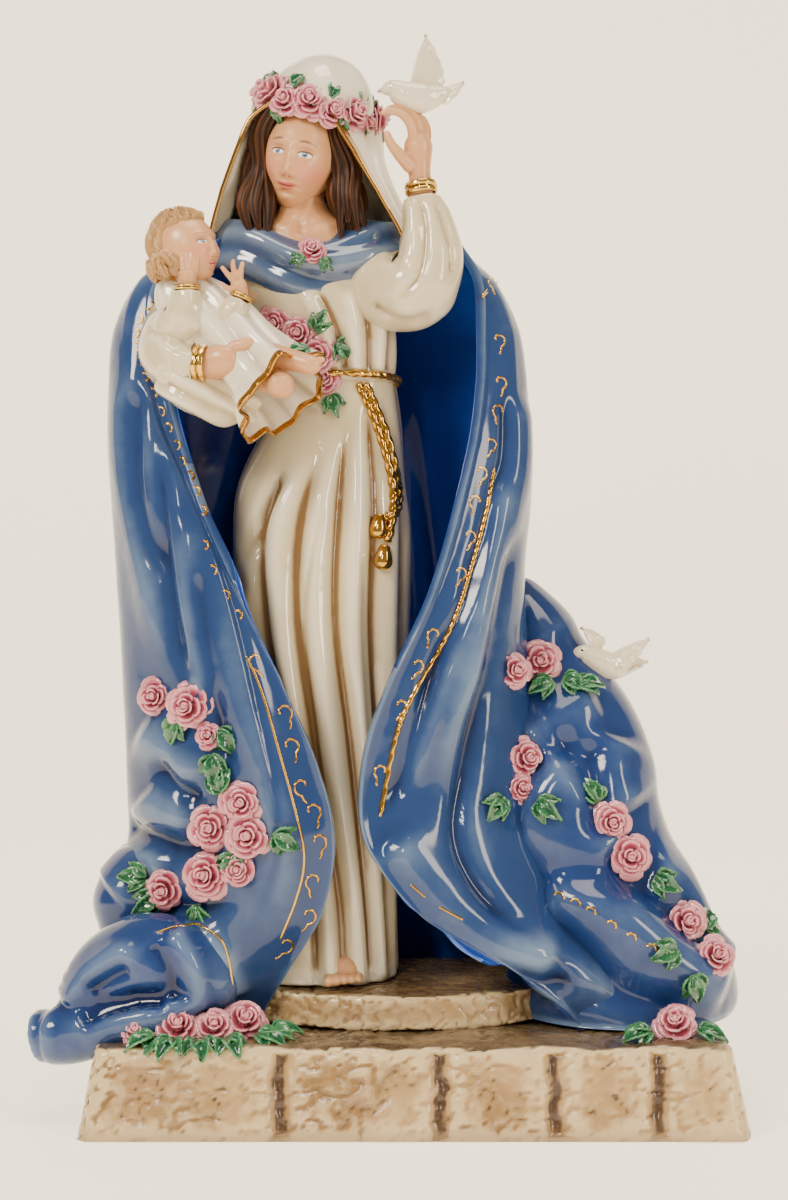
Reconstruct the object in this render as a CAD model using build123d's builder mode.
"""Porcelain madonna statue: a crowned standing woman in a wide open mantle, holding a child, with doves and roses.

Millimetres, +Z up, front towards -Y. The origin is the middle of the whole outline, on the underside: the
pieces are laid out from a line close to it, and set about the origin as they are written. "Left"
and "right" in the names are as seen from the front. Every piece is a separate casting or hand-made piece that is
luted to its neighbours before firing, so pieces meet face to face and nothing moves.
"""

import os

from build123d import *

# ---------------------------------------------------------------- driving dimensions
BASE_LEFT, BASE_RIGHT = -98.0, 110.0
BASE_DEPTH = 124.0
BASE_HEIGHT = 28.0
BASE_TAPER = 5.0
BASE_WALL = 5.0
STEP_HEIGHT = 11.0
JOINT_WIDTH = 2.4
VENT_RADIUS = 6.0
MANTLE_WALL = 4.0
VEIL_WALL = 2.4
GOWN_WALL = 4.0
LUTING_GAP = 0.03
WAIST_HEIGHT = 238.0
HEAD_CENTRE = (-31.0, -3.0, 315.0)
HEAD_RADII = (13.0, 15.5, 18.0)
HEAD_TURN = (8.0, 14.0, -14.0)
WREATH_CENTRE = (-27.0, 0.0, 331.5)
WREATH_TILT = (10.0, 14.0, 0.0)
WREATH_RADIUS = 18.5
WREATH_ROSES = 10
OUTLINE_MIDDLE = 0.61  # layout x of the middle of the whole outline, where the origin lies
ROSE_RADIUS = 6.5
LEAF_LENGTH = 11.0
LEAF_THICKNESS = 1.4
SEATING = 1.5

STEP_TOP = BASE_HEIGHT + STEP_HEIGHT
BASE_MIDDLE = (BASE_LEFT + BASE_RIGHT) / 2
BASE_LENGTH = BASE_RIGHT - BASE_LEFT

# Front joints between the five dressed stones of the plinth, and the matching joints behind.
STONE_JOINTS = (-35.0, 14.0, 49.0, 81.0)

# Mantle walls, level by level from the hem: each outline runs from the left front border round the
# back to the right front border.
MANTLE_LEVELS = [
    (28.0, [(-40, -18), (-68, -28), (-92, -8), (-86, 34), (0, 55), (70, 40), (88, 4), (78, -26), (58, -29)]),
    (45.0, [(-32, -27), (-62, -35), (-90, -8), (-82, 36), (-4, 55), (66, 39), (82, 2), (60, -34), (33, -38)]),
    (65.0, [(-22, -33), (-57, -38), (-88, -8), (-77, 36), (-10, 54), (58, 38), (72, 0), (44, -34), (9, -41)]),
    (87.0, [(-19, -35), (-55, -37), (-88, -6), (-74, 35), (-14, 52), (48, 36), (62, 0), (34, -30), (-7, -41)]),
    (108.0, [(-23, -35), (-57, -36), (-89, -5), (-73, 34), (-16, 50), (40, 35), (54, 0), (30, -28), (-9, -40)]),
    (133.0, [(-33, -34), (-62, -35), (-89, -4), (-72, 34), (-18, 48), (32, 34), (48, 2), (30, -26), (0, -38)]),
    (168.0, [(-49, -31), (-70, -31), (-92, -2), (-74, 33), (-20, 46), (24, 34), (43, 6), (38, -20), (21, -32)]),
    (200.0, [(-63, -28), (-78, -27), (-94, -1), (-76, 33), (-22, 44), (20, 34), (44, 6), (42, -16), (32, -27)]),
    (230.0, [(-73, -17), (-85, -18), (-94, 0), (-76, 32), (-24, 42), (16, 34), (43, 8), (42, -10), (35, -20)]),
    (255.0, [(-77, -11), (-87, -10), (-92, 4), (-73, 30), (-26, 39), (12, 33), (39, 10), (39, -5), (33, -14)]),
    (272.0, [(-75, -7), (-82, -4), (-82, 8), (-64, 27), (-28, 35), (6, 30), (30, 11), (33, 1), (29, -8)]),
    (286.0, [(-60, -2), (-65, 3), (-62, 12), (-50, 24), (-29, 29), (-4, 25), (14, 14), (19, 5), (19, -3)]),
    (292.0, [(-48, 2), (-54, 7), (-52, 15), (-43, 25), (-29, 29.5), (-9, 25), (10, 15), (15, 9), (15, 3)]),
]

# Ellipses (height, centre x, centre y, half width, half depth).
SKIRT_LEVELS = [
    (STEP_TOP, -27, 0, 28, 21),
    (70, -26, 1, 26, 20),
    (110, -25, 2, 27, 20),
    (150, -24, 3, 29, 21),
    (185, -24, 4, 30, 21),
    (205, -24, 5, 28, 20),
    (225, -20, 6, 22, 17),
    (WAIST_HEIGHT, -17, 6, 17, 13),
]
BODICE_LEVELS = [
    (WAIST_HEIGHT, -17, 6, 17, 13),
    (250, -20, 4, 20, 15.5),
    (262, -24, 3, 23, 17),
    (274, -27, 3, 24, 16),
    (283, -29, 5, 20, 13),
]
COWL_LEVELS = [
    (268, -27, 2, 29.5, 20.5),
    (276, -29, 3, 33, 20),
    (284, -30, 5, 31, 18),
    (291, -31, 6, 25, 15),
]
CHEST_LEVELS = [
    (283, -29, 5, 20, 13),
    (287, -30, 4, 17, 11.5),
    (291, -30, 3, 10.5, 10),
    (297, -30, 2, 8.2, 8.2),
    (304, -30, 1, 8, 8),
]

# Folds of cloth heaped on the plinth beside the mantle.
TRAIN_RIGHT_LEVELS = [
    (BASE_HEIGHT, 76, 2, 37, 40),
    (34, 76, 2, 39.5, 40),
    (46, 77, 2, 36.5, 38),
    (63, 70, 4, 33.5, 36),
    (80, 65, 6, 31, 33),
    (96, 58, 8, 32, 30),
    (112, 57, 10, 31, 27),
    (130, 54, 14, 27, 22),
    (147, 50, 18, 19, 17),
    (161, 46, 22, 12, 11),
    (168, 44, 24, 6, 6),
]
TRAIN_LEFT_LEVELS = [
    (BASE_HEIGHT, -82, -3, 18, 22),
    (40, -81, -4, 18, 23),
    (53, -77, -5, 20, 25),
    (66, -78, -4, 21.5, 24),
    (76, -77, -2, 19, 20),
    (84, -76, 0, 13, 14),
]
ROLL_STATIONS = [
    (-113, -31, 25, 4.5),
    (-109, -32, 26, 9),
    (-101, -33, 29, 11),
    (-91, -35, 34, 11),
    (-81, -38, 38, 9.5),
    (-69, -41, 41, 7),
    (-58, -42, 43, 4),
]

# The bare foot at the hem.
FOOT_PLACE = (-16, -19, STEP_TOP + 2.9)
FOOT_SIZE = (11, 14, 5.8)

HAIR_CENTRE, HAIR_RADII = (-30, 1.5, 316.5), (16.2, 16.6, 19.5)
HAIR_LOCKS = [
    [(-44, 0, 318, 4.5), (-46.5, -3, 308, 5.2), (-47.5, -4, 300, 5.4), (-48, -3, 293, 3.0)],
    [(-16, 0, 318, 4.5), (-14, -3, 308, 5.6), (-12.5, -4, 300, 6.0), (-14, -3, 294.5, 3.6)],
]
FACE_WINDOW, FACE_WINDOW_SHIFT = (21, 14, 32), (0, -12, -3)

CROWN_CENTRE, CROWN_RADII = (-23.5, 4, 326), (19, 19, 22)
VEIL_LEVELS = [
    (286.0, [(-61, -6), (-66, 6), (-58, 22), (-30, 31), (0, 25), (9, 9), (3, -7)]),
    (300.0, [(-56, -7), (-60, 6), (-52, 20), (-30, 28), (-6, 22), (1, 8), (-4, -8)]),
    (313.0, [(-50, -9), (-52, 5), (-45, 17), (-29, 24), (-11, 19), (-4, 7), (-8, -9)]),
    (326.0, [(-45, -10), (-46, 4), (-40, 15), (-26, 22), (-11, 18), (-4, 6), (-8, -9)]),
    (333.0, [(-41, -8), (-42, 4), (-36, 14), (-24, 20), (-11, 16), (-5, 5), (-8, -7)]),
]

# Arms and hands, (x, y, z, radius).
RAISED_SLEEVE = [(-12, 0, 272, 11), (0, -8, 266, 12.5), (11, -13, 268, 12), (13, -14, 280, 9), (10, -13, 293, 6.5)]
RAISED_CUFF = [(9.6, -12.8, 294, 7.2), (8.4, -12.3, 303, 6.2)]
RAISED_HAND = [
    (8.4, -12.3, 303, 3.6), (8, -12.5, 309, 4.0), (7, -13, 316, 5.0), (3.5, -14, 322, 4.0), (-1, -14, 326, 2.4),
]
CRADLING_SLEEVE = [(-63, -4, 262, 10), (-68, -14, 254, 12), (-68.5, -25, 246, 12.5), (-66, -33, 241, 10.5), (-63, -37, 239.5, 8)]
CRADLING_CUFF = [(-64.5, -36.6, 239.7, 8.2), (-59.5, -38, 239.2, 7.2)]
CRADLING_HAND = [(-59.5, -38, 239.2, 4.4), (-53, -39.5, 240, 5.4), (-45, -39.5, 239, 4.6), (-39.5, -38, 237.5, 2.6)]

# The child.
CHILD_HEAD_CENTRE, CHILD_HEAD_RADII = (-67.5, -30, 277), (10, 11, 11.5)
CHILD_HAIR_RADII = (12.2, 12.4, 13)
CHILD_FACE_WINDOW, CHILD_FACE_SHIFT = (15, 16, 19), (0, -12, -2)
CHILD_GOWN = [
    (-69, -28, 268, 7), (-67, -28, 262, 10), (-59, -28, 254, 12), (-48, -27.5, 246, 12),
    (-40, -27, 236, 12.5), (-36, -26, 225, 13), (-34, -25, 213, 14),
]
CHILD_NEAR_SLEEVE = [(-66, -34, 253, 6.5), (-66, -38.5, 258, 5.5), (-65.5, -39.5, 263, 4.6)]
CHILD_NEAR_HAND = [(-65.5, -39.5, 263, 2.8), (-65, -40, 267, 3.0), (-64, -40, 271.5, 1.8)]
CHILD_FAR_SLEEVE = [(-55, -34, 254, 5.5), (-50.5, -36.5, 257, 4.8), (-48.5, -37, 260.5, 4.2)]
CHILD_FAR_HAND = [(-48.5, -37, 260.5, 2.6), (-49.5, -37.5, 264.5, 2.8), (-51, -38, 268, 1.6)]
CHILD_FEET = [
    [(-37, -34, 237, 3), (-35, -40, 234.5, 3.1), (-34, -43, 231, 1.8)],
    [(-30, -33, 235, 3), (-28.5, -38.5, 232.5, 3.1), (-27.5, -41.5, 229, 1.8)],
]

# Doves, (x, y, z, radius) from the beak to the tail.
HAND_DOVE = [
    (-4.5, -13, 331, 0.8), (-1, -13, 332.5, 3.2), (4, -13, 330.5, 5),
    (9, -12.5, 330, 5.4), (15, -12, 332, 3.4), (21, -11.5, 334.5, 1.4),
]
TRAIN_DOVE = [
    (60, 5, 145.5, 0.8), (63.5, 5.5, 147, 3.2), (69, 7, 143.5, 5.2),
    (75, 8.5, 142, 5), (81, 10, 142.5, 2.8), (87, 11.5, 144, 1.4),
]
WING_LENGTH, WING_WIDTH, WING_THICKNESS = 17.0, 8.0, 1.8
# Each wing's root, the direction it points in and the direction it faces.
HAND_DOVE_WINGS = [
    ((7, -11, 333), (0.45, 0.15, 0.9), (0.7, -0.6, -0.25)),
    ((9, -15, 332), (0.9, -0.25, 0.35), (-0.2, -0.85, 0.3)),
]
TRAIN_DOVE_WINGS = [
    ((70, 9, 146), (0.25, 0.35, 0.9), (0.7, -0.6, 0.1)),
    ((72, 5, 144), (0.95, -0.15, 0.3), (0.1, -0.9, 0.3)),
]

# Moulded girdle cord lying on the skirt: two tails, (x, z) down the front.
CORD_RADIUS = 1.2
CORD_TAILS = [
    [(-10.4, 237), (-7, 227), (-2, 217), (0.3, 205.5), (-0.6, 196), (-3.5, 188), (-4, 177)],
    [(-9, 237), (-4.5, 229), (1.5, 219), (3.4, 207), (2.6, 197), (1.5, 188)],
]

# Rose heads, (x, z, radius), laid on the cloth behind them.
BOUQUET_ROSES = [(-38.5, 257, 5.6), (-31, 253.5, 5.6), (-24.5, 247, 6.0), (-23, 237.5, 5.6)]
BROOCH_ROSE = [(-26.8, 278.6, 4.6)]
LEFT_UPPER_ROSES = [(-76, 134, 6.2), (-64.3, 131.5, 6.6), (-58.6, 122, 4.2)]
LEFT_MIDDLE_ROSES = [(-57, 93.3, 6.6), (-47.5, 101.3, 6.0), (-45.5, 91, 6.6)]
LEFT_HEM_ROSES = [(-73, 72.6, 6.6), (-58.6, 75.8, 6.6), (-49, 80, 6.0)]
RIGHT_SHOULDER_ROSES = [(40, 143.5, 6.6), (50, 145, 6.2)]
RIGHT_FRONT_ROSES = [(42.3, 113, 6.4), (40.7, 103.5, 5.8)]
RIGHT_SIDE_ROSES = [(71.3, 91, 6.6), (77, 80, 6.6)]
RIGHT_HEM_ROSES = [(93.9, 60, 6.6), (102, 49.5, 6.2)]
# Rose heads standing on the plinth, (x, y, radius).
LEFT_BASE_ROSES = [(-76, -52, 6.8), (-60, -48, 7.0), (-43, -42, 6.6)]
RIGHT_BASE_ROSES = [(88, -44, 6.6)]

# Leaves, (x, z, angle) on the cloth.
BOUQUET_LEAVES = [(-22, 254, 60), (-26, 241, 200), (-20, 231, 290)]
LEFT_LEAVES = [
    (-68, 125, 240), (-54, 124, 320), (-58, 115, 280), (-54, 104.5, 100), (-38, 91.5, 330),
    (-50, 85, 250), (-80, 75, 170), (-77, 68, 220), (-64, 68, 280),
]
RIGHT_LEAVES = [
    (33, 149, 160), (56, 139, 320), (62, 136, 300), (35, 101, 240), (47, 100, 320),
    (68, 99, 110), (85, 75, 330), (89, 54, 200), (102, 57, 60), (96, 44, 290),
]
BROOCH_LEAVES = [(-32, 277, 170), (-21.5, 276.5, 340)]
# Leaves lying on the plinth, (x, y, angle).
BASE_LEAVES = [(-72, -50, 250), (-52, -50, 290), (-36, -44, 320), (82, -45, 215)]


# ---------------------------------------------------------------- shared ways of making a piece
def inward(outline, distance):
    """The points of an open outline, each moved square to its neighbours' line towards the inside."""
    moved = []
    for index, (x, y) in enumerate(outline):
        before = outline[max(index - 1, 0)]
        after = outline[min(index + 1, len(outline) - 1)]
        along = Vector(after[0] - before[0], after[1] - before[1]).normalized()
        moved.append((x + along.Y * distance, y - along.X * distance))
    return moved


def draped_wall(levels, wall):
    """A hanging cloth of even thickness that is open at the front."""
    profiles = []
    for height, outline in levels:
        with BuildSketch(Plane.XY.offset(height)) as profile:
            with BuildLine():
                outside = Spline(*outline)
                inside = Spline(*inward(outline, wall))
                Line(outside @ 0, inside @ 0)
                Line(outside @ 1, inside @ 1)
            make_face()
        profiles.append(profile.sketch)
    with BuildPart() as cloth:
        loft(profiles)
    return cloth


def stacked(levels, shrink=0.0):
    """A body lofted upwards through level ellipses, optionally made smaller all round."""
    with BuildPart() as body:
        for height, middle_x, middle_y, half_width, half_depth in levels:
            with BuildSketch(Plane.XY.offset(height)):
                with Locations((middle_x, middle_y)):
                    Ellipse(half_width - shrink, half_depth - shrink)
        loft()
    return body


def limb(stations):
    """A body lofted through circles strung along (x, y, z, radius) stations."""
    with BuildPart() as body:
        for index, (x, y, z, radius) in enumerate(stations):
            before = Vector(*stations[max(index - 1, 0)][:3])
            after = Vector(*stations[min(index + 1, len(stations) - 1)][:3])
            along = (after - before).normalized()
            across = along.cross(Vector(0, 1, 0.05)).normalized()
            with BuildSketch(Plane(origin=(x, y, z), x_dir=across, z_dir=along)):
                Circle(radius)
        loft()
    return body


def rounded(centre, radii, turn=(0, 0, 0)):
    """An ellipsoid at a place, turned by three angles."""
    with BuildPart() as body:
        Sphere(1)
        scale(by=tuple(radii))
    return Location(centre, turn) * body.part


def front_of(shapes, x, z):
    """The first point that a level line from the front meets, and the surface's outward direction there."""
    hits = []
    for shape in shapes:
        for face in shape.faces():
            hits += face.find_intersection_points(Axis((x, -200, z), (0, 1, 0)))
    point, normal = min(hits, key=lambda hit: hit[0].Y)
    if normal.Y > 0:
        normal = normal * -1
    return point, normal


def flower_plane(shapes, x, z):
    """Where a flower sits on a surface: the plane's origin is just under it and its Z axis points outwards."""
    point, normal = front_of(shapes, x, z)
    outward = (normal + Vector(0, -0.6, 0)).normalized()
    return Plane(origin=point - outward * SEATING, z_dir=outward)


def rose_group(planes, radii, *neighbours):
    """Separate rose heads, each a flared cup, on their planes and cut to their neighbours."""
    with BuildPart() as group:
        for plane, radius in zip(planes, radii):
            with Locations(plane.location):
                Cone(radius * 0.6, radius, radius * 1.1, align=(Align.CENTER, Align.CENTER, Align.MIN))
        for neighbour in neighbours:
            add(neighbour, mode=Mode.SUBTRACT)
    return without_crumbs(group.part)


def leaf_group(planes, angles, *neighbours):
    """Separate pointed leaves, each lying on its plane at an angle and cut to its neighbours."""
    with BuildPart() as group:
        for plane, angle in zip(planes, angles):
            with BuildSketch(plane * Location((0, 0, 0), (0, 0, angle))):
                with BuildLine():
                    edge = ThreePointArc((0, 0), (LEAF_LENGTH * 0.45, LEAF_LENGTH * 0.3), (LEAF_LENGTH, 0))
                    mirror(edge, about=Plane.XZ)
                make_face()
            extrude(amount=LEAF_THICKNESS + SEATING)
        for neighbour in neighbours:
            add(neighbour, mode=Mode.SUBTRACT)
    return without_crumbs(group.part)


def roses_on(cloth, flowers, *neighbours):
    """Rose heads seated on the cloth at (x, z, radius)."""
    planes = [flower_plane(cloth, x, z) for x, z, _ in flowers]
    return rose_group(planes, [radius for _, _, radius in flowers], *cloth, *neighbours)


def leaves_on(cloth, leaves, *neighbours):
    """Leaves seated on the cloth at (x, z, angle)."""
    planes = [flower_plane(cloth, x, z) for x, z, _ in leaves]
    return leaf_group(planes, [angle for _, _, angle in leaves], *cloth, *neighbours)


def wing_pair(wings, body):
    """Two pointed wings, each from its root along a direction, cut to the dove's body."""
    with BuildPart() as pair:
        for root, along, facing in wings:
            length_way = Vector(*along)
            flat_way = length_way.cross(Vector(*facing)).cross(length_way)
            with BuildSketch(Plane(origin=root, x_dir=length_way, z_dir=flat_way)):
                with BuildLine():
                    Spline((0, -WING_WIDTH * 0.3), (WING_LENGTH * 0.45, -WING_WIDTH * 0.5), (WING_LENGTH, 0))
                    Spline((WING_LENGTH, 0), (WING_LENGTH * 0.5, WING_WIDTH * 0.5), (0, WING_WIDTH * 0.3))
                    Line((0, WING_WIDTH * 0.3), (0, -WING_WIDTH * 0.3))
                make_face()
            extrude(amount=WING_THICKNESS / 2, both=True)
        add(body, mode=Mode.SUBTRACT)
    return pair


def largest(part):
    """The main solid of a piece, without any crumbs left by trimming."""
    return part.part.solids().sort_by(SortBy.VOLUME)[-1]


def without_crumbs(shape):
    """All the solids of a piece except the crumbs left by trimming."""
    solids = shape.solids()
    least = 0.12 * max(solid.volume for solid in solids)
    return Part(children=[solid for solid in solids if solid.volume > least])


def write(name, shape):
    """Sets a finished piece about the origin, labels it and writes its file."""
    placed = shape.moved(Location((-OUTLINE_MIDDLE, 0, 0)))
    placed.label = name
    export_step(placed, f"parts/{name}.step")


os.makedirs("parts", exist_ok=True)

# ---------------------------------------------------------------- stone plinth
with BuildPart() as base_lower_step:
    with BuildSketch():
        with Locations((BASE_MIDDLE, 0)):
            RectangleRounded(BASE_LENGTH, BASE_DEPTH, 7)
    with BuildSketch(Plane.XY.offset(BASE_HEIGHT)):
        with Locations((BASE_MIDDLE, 0)):
            RectangleRounded(BASE_LENGTH - 2 * BASE_TAPER, BASE_DEPTH - 2 * BASE_TAPER, 7)
    loft()
    fillet(base_lower_step.edges().group_by(Axis.Z)[-1], 2.0)
    for front in (-1, 1):
        with Locations(*[(x, front * BASE_DEPTH / 2, BASE_HEIGHT / 2) for x in STONE_JOINTS]):
            Box(JOINT_WIDTH, 2 * JOINT_WIDTH, BASE_HEIGHT + 2, rotation=(front * 10, 0, 45), mode=Mode.SUBTRACT)
    with Locations((BASE_MIDDLE, 0, BASE_WALL)):
        Box(
            BASE_LENGTH - 2 * (BASE_TAPER + BASE_WALL) - 4,
            BASE_DEPTH - 2 * (BASE_TAPER + BASE_WALL) - 4,
            BASE_HEIGHT - 2 * BASE_WALL,
            align=(Align.CENTER, Align.CENTER, Align.MIN),
            mode=Mode.SUBTRACT,
        )
    with Locations((OUTLINE_MIDDLE, 0, BASE_WALL / 2)):
        Cylinder(VENT_RADIUS, BASE_WALL + 1, mode=Mode.SUBTRACT)
write("base_lower_step", base_lower_step.part)

with BuildPart() as base_upper_step:
    with BuildSketch(Plane.XY.offset(BASE_HEIGHT)):
        with BuildLine():
            ThreePointArc((-60, -6), (4, -36), (58, -10))
            Polyline((58, -10), (48, 34), (-52, 34), (-60, -6))
        make_face()
    extrude(amount=STEP_HEIGHT, taper=6)
write("base_upper_step", base_upper_step.part)

# ---------------------------------------------------------------- mantle, cast in three sections
with BuildPart() as mantle:
    add(draped_wall(MANTLE_LEVELS, MANTLE_WALL).part)
    add(base_upper_step.part, mode=Mode.SUBTRACT)

# The same outlines closed across the front and a hair larger, to trim what lies against the mantle outside.
with BuildPart() as mantle_filled:
    for height, outline in MANTLE_LEVELS:
        with BuildSketch(Plane.XY.offset(height)):
            with BuildLine():
                round_the_back = Spline(*inward(outline, -LUTING_GAP))
                Line(round_the_back @ 0, round_the_back @ 1)
            make_face()
    loft()

SEAM_BEHIND = Plane.XZ.offset(-24)
with BuildPart() as mantle_back:
    add(mantle.part)
    split(bisect_by=SEAM_BEHIND, keep=Keep.BOTTOM)
with BuildPart() as mantle_front:
    add(mantle.part)
    split(bisect_by=SEAM_BEHIND, keep=Keep.TOP)
mantle_left, mantle_right = mantle_front.solids().sort_by(Axis.X)
write("mantle_back", mantle_back.part)
write("mantle_left", mantle_left)
write("mantle_right", mantle_right)

# ---------------------------------------------------------------- train: folds heaped beside the mantle
with BuildPart() as train_right:
    add(stacked(TRAIN_RIGHT_LEVELS).part)
    add(mantle_filled.part, mode=Mode.SUBTRACT)
with BuildPart() as train_left:
    add(stacked(TRAIN_LEFT_LEVELS).part)
    add(mantle_filled.part, mode=Mode.SUBTRACT)
with BuildPart() as train_left_roll:
    add(limb(ROLL_STATIONS).part)
    for neighbour in (base_lower_step, mantle_filled, train_left):
        add(neighbour.part, mode=Mode.SUBTRACT)
train_right_fold = train_right.solids().sort_by(SortBy.VOLUME)[-1]
train_left_fold = train_left.solids().sort_by(SortBy.VOLUME)[-1]
train_left_end = train_left_roll.solids().sort_by(SortBy.VOLUME)[-1]
write("train_right_fold", train_right_fold)
write("train_left_fold", train_left_fold)
write("train_left_roll", train_left_end)

# ---------------------------------------------------------------- gown
with BuildPart() as gown_skirt:
    add(stacked(SKIRT_LEVELS).part)
    add(stacked(SKIRT_LEVELS[1:-1], GOWN_WALL).part, mode=Mode.SUBTRACT)
    with Locations((SKIRT_LEVELS[0][1], SKIRT_LEVELS[0][2], STEP_TOP)):
        Cylinder(VENT_RADIUS, 80, mode=Mode.SUBTRACT)
    with Locations(FOOT_PLACE):
        Box(*FOOT_SIZE, mode=Mode.SUBTRACT)
write("gown_skirt", gown_skirt.part)

with BuildPart() as foot:
    with Locations(FOOT_PLACE):
        Box(*FOOT_SIZE)
    fillet(foot.edges().filter_by(Axis.Z), 2.6)
    fillet(foot.edges().group_by(Axis.Z)[-1], 2.0)
write("foot", foot.part)

with BuildPart() as gown_bodice:
    add(stacked(BODICE_LEVELS).part)
write("gown_bodice", gown_bodice.part)

with BuildPart() as waist_girdle:
    with BuildSketch(Plane.XY.offset(WAIST_HEIGHT - 1.2)):
        with Locations(SKIRT_LEVELS[-1][1:3]):
            Ellipse(SKIRT_LEVELS[-1][3] + 1.6, SKIRT_LEVELS[-1][4] + 1.6)
    extrude(amount=2.6)
    add(gown_skirt.part, mode=Mode.SUBTRACT)
    add(gown_bodice.part, mode=Mode.SUBTRACT)
write("waist_girdle", waist_girdle.part)

# ---------------------------------------------------------------- head, neck and hair
head = rounded(HEAD_CENTRE, HEAD_RADII, HEAD_TURN)
write("head", head)

with BuildPart() as neck_and_chest:
    add(stacked(CHEST_LEVELS).part)
    add(head, mode=Mode.SUBTRACT)
write("neck_and_chest", neck_and_chest.part)

with BuildPart() as neck_cowl:
    add(stacked(COWL_LEVELS).part)
    for neighbour in (gown_bodice, neck_and_chest, mantle):
        add(neighbour.part, mode=Mode.SUBTRACT)
cowl = neck_cowl.solids().sort_by(SortBy.VOLUME)[-1]
write("neck_cowl", cowl)

with BuildPart() as hair_mass:
    add(rounded(HAIR_CENTRE, HAIR_RADII, HEAD_TURN))
    for lock in HAIR_LOCKS:
        add(limb(lock).part)
    add(Location(HEAD_CENTRE, HEAD_TURN) * Location(FACE_WINDOW_SHIFT) * Box(*FACE_WINDOW, mode=Mode.PRIVATE), mode=Mode.SUBTRACT)
    add(head, mode=Mode.SUBTRACT)
    add(neck_and_chest.part, mode=Mode.SUBTRACT)
    add(cowl, mode=Mode.SUBTRACT)
    add(mantle.part, mode=Mode.SUBTRACT)
hair = hair_mass.solids().sort_by(SortBy.VOLUME)[-1]
write("hair", hair)

with BuildPart() as veil_cloth:
    add(draped_wall(VEIL_LEVELS, VEIL_WALL).part)
    for neighbour in (mantle.part, cowl, hair, neck_and_chest.part):
        add(neighbour, mode=Mode.SUBTRACT)
veil_drape = largest(veil_cloth)
write("veil_drape", veil_drape)

with BuildPart() as veil_crown:
    add(rounded(CROWN_CENTRE, CROWN_RADII))
    split(bisect_by=Plane.XY.offset(VEIL_LEVELS[-1][0]), keep=Keep.TOP)
    add(head, mode=Mode.SUBTRACT)
    add(hair, mode=Mode.SUBTRACT)
write("veil_crown", largest(veil_crown))

# ---------------------------------------------------------------- wreath of roses
wreath_place = Location(WREATH_CENTRE, WREATH_TILT)
rose_seat = Location((WREATH_RADIUS - 4, 0, 0), (0, 70, 0))
with BuildPart() as wreath_roses:
    for number in range(WREATH_ROSES):
        turned = Location((0, 0, 0), (0, 0, 360 / WREATH_ROSES * number))
        with Locations(wreath_place * turned * rose_seat):
            Cone(ROSE_RADIUS * 0.6, ROSE_RADIUS, ROSE_RADIUS * 1.1, align=(Align.CENTER, Align.CENTER, Align.MIN))
    for neighbour in (head, hair, veil_drape, veil_crown.part):
        add(neighbour, mode=Mode.SUBTRACT)
wreath = without_crumbs(wreath_roses.part)
write("wreath_roses", wreath)

# ---------------------------------------------------------------- raised arm and its dove
with BuildPart() as raised_sleeve:
    add(limb(RAISED_SLEEVE).part)
    for neighbour in (gown_bodice.part, cowl, mantle.part):
        add(neighbour, mode=Mode.SUBTRACT)
write("raised_sleeve", largest(raised_sleeve))

with BuildPart() as raised_cuff:
    add(limb(RAISED_CUFF).part)
    add(raised_sleeve.part, mode=Mode.SUBTRACT)
write("raised_cuff", largest(raised_cuff))

with BuildPart() as hand_dove_body:
    add(limb(HAND_DOVE).part)
with BuildPart() as raised_hand:
    add(limb(RAISED_HAND).part)
    add(raised_cuff.part, mode=Mode.SUBTRACT)
    add(hand_dove_body.part, mode=Mode.SUBTRACT)
write("raised_hand", largest(raised_hand))
write("hand_dove_body", hand_dove_body.part)
with BuildPart() as hand_dove_wings:
    add(wing_pair(HAND_DOVE_WINGS, hand_dove_body.part).part)
    add(wreath_roses.part, mode=Mode.SUBTRACT)
    add(raised_hand.part, mode=Mode.SUBTRACT)
write("hand_dove_wings", hand_dove_wings.part)

# ---------------------------------------------------------------- child
child_head = rounded(CHILD_HEAD_CENTRE, CHILD_HEAD_RADII)
write("child_head", child_head)
with BuildPart() as child_gown:
    add(limb(CHILD_GOWN).part)
    for neighbour in (gown_bodice.part, gown_skirt.part, waist_girdle.part, cowl, child_head, mantle.part):
        add(neighbour, mode=Mode.SUBTRACT)
child_dress = largest(child_gown)
write("child_gown", child_dress)

with BuildPart() as child_hair:
    add(rounded(CHILD_HEAD_CENTRE, CHILD_HAIR_RADII))
    add(Location(CHILD_HEAD_CENTRE, (0, 0, 25)) * Location(CHILD_FACE_SHIFT) * Box(*CHILD_FACE_WINDOW, mode=Mode.PRIVATE), mode=Mode.SUBTRACT)
    for neighbour in (child_head, child_dress, mantle.part, cowl):
        add(neighbour, mode=Mode.SUBTRACT)
write("child_hair", largest(child_hair))

with BuildPart() as child_sleeves:
    add(limb(CHILD_NEAR_SLEEVE).part)
    add(limb(CHILD_FAR_SLEEVE).part)
    add(child_dress, mode=Mode.SUBTRACT)
    add(child_hair.part, mode=Mode.SUBTRACT)
    add(child_head, mode=Mode.SUBTRACT)
write("child_sleeves", child_sleeves.part)
with BuildPart() as child_hands:
    add(limb(CHILD_NEAR_HAND).part)
    add(limb(CHILD_FAR_HAND).part)
    for neighbour in (child_sleeves.part, child_head, child_hair.part, child_dress):
        add(neighbour, mode=Mode.SUBTRACT)
write("child_hands", child_hands.part)
with BuildPart() as child_feet:
    for toes in CHILD_FEET:
        add(limb(toes).part)
    add(child_dress, mode=Mode.SUBTRACT)
write("child_feet", child_feet.part)

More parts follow.
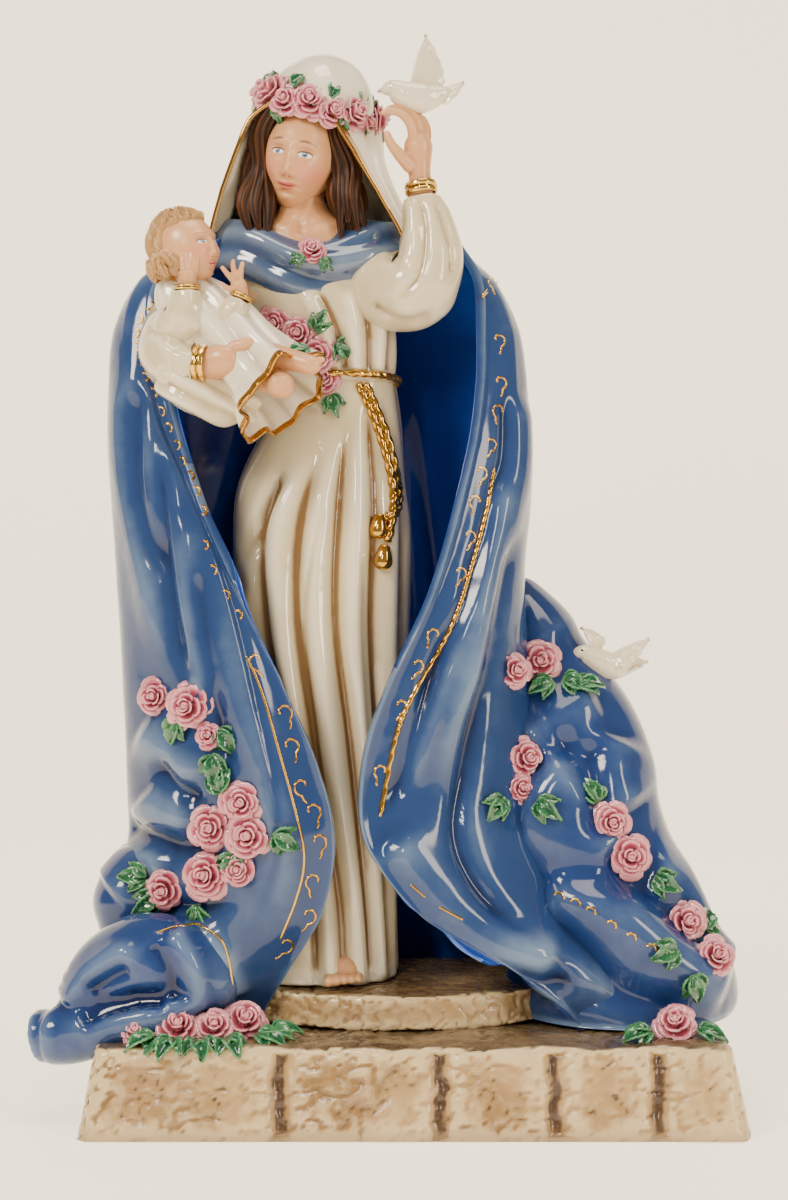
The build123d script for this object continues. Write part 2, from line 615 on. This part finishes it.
# ---------------------------------------------------------------- cradling arm
with BuildPart() as cradling_sleeve:
    add(limb(CRADLING_SLEEVE).part)
    for neighbour in (child_dress, mantle.part, child_hair.part, child_sleeves.part, gown_bodice.part):
        add(neighbour, mode=Mode.SUBTRACT)
write("cradling_sleeve", largest(cradling_sleeve))
with BuildPart() as cradling_cuff:
    add(limb(CRADLING_CUFF).part)
    for neighbour in (cradling_sleeve.part, child_dress, child_sleeves.part):
        add(neighbour, mode=Mode.SUBTRACT)
write("cradling_cuff", largest(cradling_cuff))
with BuildPart() as cradling_hand:
    add(limb(CRADLING_HAND).part)
    for neighbour in (cradling_cuff.part, child_dress, child_feet.part, child_sleeves.part):
        add(neighbour, mode=Mode.SUBTRACT)
write("cradling_hand", largest(cradling_hand))

# ---------------------------------------------------------------- girdle cord and tassels
with BuildPart() as girdle_cord:
    for tail in CORD_TAILS:
        stations = []
        for x, z in tail:
            place = front_of([gown_skirt.part, waist_girdle.part], x, z)[0]
            stations.append((x, place.Y - 0.5, z, CORD_RADIUS))
        add(limb(stations).part)
    for neighbour in (gown_skirt.part, waist_girdle.part, gown_bodice.part):
        add(neighbour, mode=Mode.SUBTRACT)
write("girdle_cord", girdle_cord.part)
with BuildPart() as girdle_tassels:
    for tail in CORD_TAILS:
        x, z = tail[-1]
        place = front_of([gown_skirt.part], x, z)[0]
        with Locations((x, place.Y - 0.5, z - 4)):
            Cone(2.8, 1.4, 8)
    add(gown_skirt.part, mode=Mode.SUBTRACT)
    add(girdle_cord.part, mode=Mode.SUBTRACT)
write("girdle_tassels", girdle_tassels.part)

# ---------------------------------------------------------------- roses and leaves on the cloth
left_cloth = [mantle_left, train_left_fold, train_left_end]
right_cloth = [mantle_right, mantle_back.part, train_right_fold]
madonna_front = [child_dress, gown_bodice.part, gown_skirt.part, waist_girdle.part]

around_bouquet = [cowl, child_feet.part, child_sleeves.part, child_hands.part, girdle_cord.part]
bouquet_roses = roses_on(madonna_front, BOUQUET_ROSES, *around_bouquet)
write("bouquet_roses", bouquet_roses)
bouquet_leaves = leaves_on(madonna_front, BOUQUET_LEAVES, bouquet_roses, *around_bouquet)
write("bouquet_leaves", bouquet_leaves)
brooch_rose = roses_on([cowl], BROOCH_ROSE)
write("brooch_rose", brooch_rose)
brooch_leaves = leaves_on([cowl], BROOCH_LEAVES, brooch_rose)
write("brooch_leaves", brooch_leaves)

left_roses = []
for name, flowers in (
    ("left_upper_roses", LEFT_UPPER_ROSES),
    ("left_middle_roses", LEFT_MIDDLE_ROSES),
    ("left_hem_roses", LEFT_HEM_ROSES),
):
    group = roses_on(left_cloth, flowers, *left_roses)
    write(name, group)
    left_roses.append(group)
right_roses = []
for name, flowers in (
    ("right_shoulder_roses", RIGHT_SHOULDER_ROSES),
    ("right_front_roses", RIGHT_FRONT_ROSES),
    ("right_side_roses", RIGHT_SIDE_ROSES),
    ("right_hem_roses", RIGHT_HEM_ROSES),
):
    group = roses_on(right_cloth, flowers, *right_roses)
    write(name, group)
    right_roses.append(group)
left_leaves = leaves_on(left_cloth, LEFT_LEAVES, *left_roses)
write("mantle_leaves_left", left_leaves)
right_leaves = leaves_on(right_cloth, RIGHT_LEAVES, *right_roses)
write("mantle_leaves_right", right_leaves)

# ---------------------------------------------------------------- roses and leaves on the plinth
base_roses = []
for name, flowers, cloth in (
    ("left_base_roses", LEFT_BASE_ROSES, left_cloth),
    ("right_base_roses", RIGHT_BASE_ROSES, right_cloth),
):
    planes = [Plane(origin=(x, y, BASE_HEIGHT), z_dir=(0, -0.5, 0.87)) for x, y, _ in flowers]
    group = rose_group(planes, [radius for _, _, radius in flowers], base_lower_step.part, *cloth)
    write(name, group)
    base_roses.append(group)
base_leaves = leaf_group(
    [Plane(origin=(x, y, BASE_HEIGHT - SEATING), z_dir=(0, 0, 1)) for x, y, _ in BASE_LEAVES],
    [angle for _, _, angle in BASE_LEAVES],
    base_lower_step.part, *left_cloth, *right_cloth, *base_roses,
)
write("base_leaves", base_leaves)

# ---------------------------------------------------------------- dove on the train
with BuildPart() as train_dove_body:
    add(limb(TRAIN_DOVE).part)
    add(train_right_fold, mode=Mode.SUBTRACT)
    add(right_leaves, mode=Mode.SUBTRACT)
write("train_dove_body", largest(train_dove_body))
with BuildPart() as train_dove_wings:
    add(wing_pair(TRAIN_DOVE_WINGS, train_dove_body.part).part)
    add(train_right_fold, mode=Mode.SUBTRACT)
write("train_dove_wings", train_dove_wings.part)
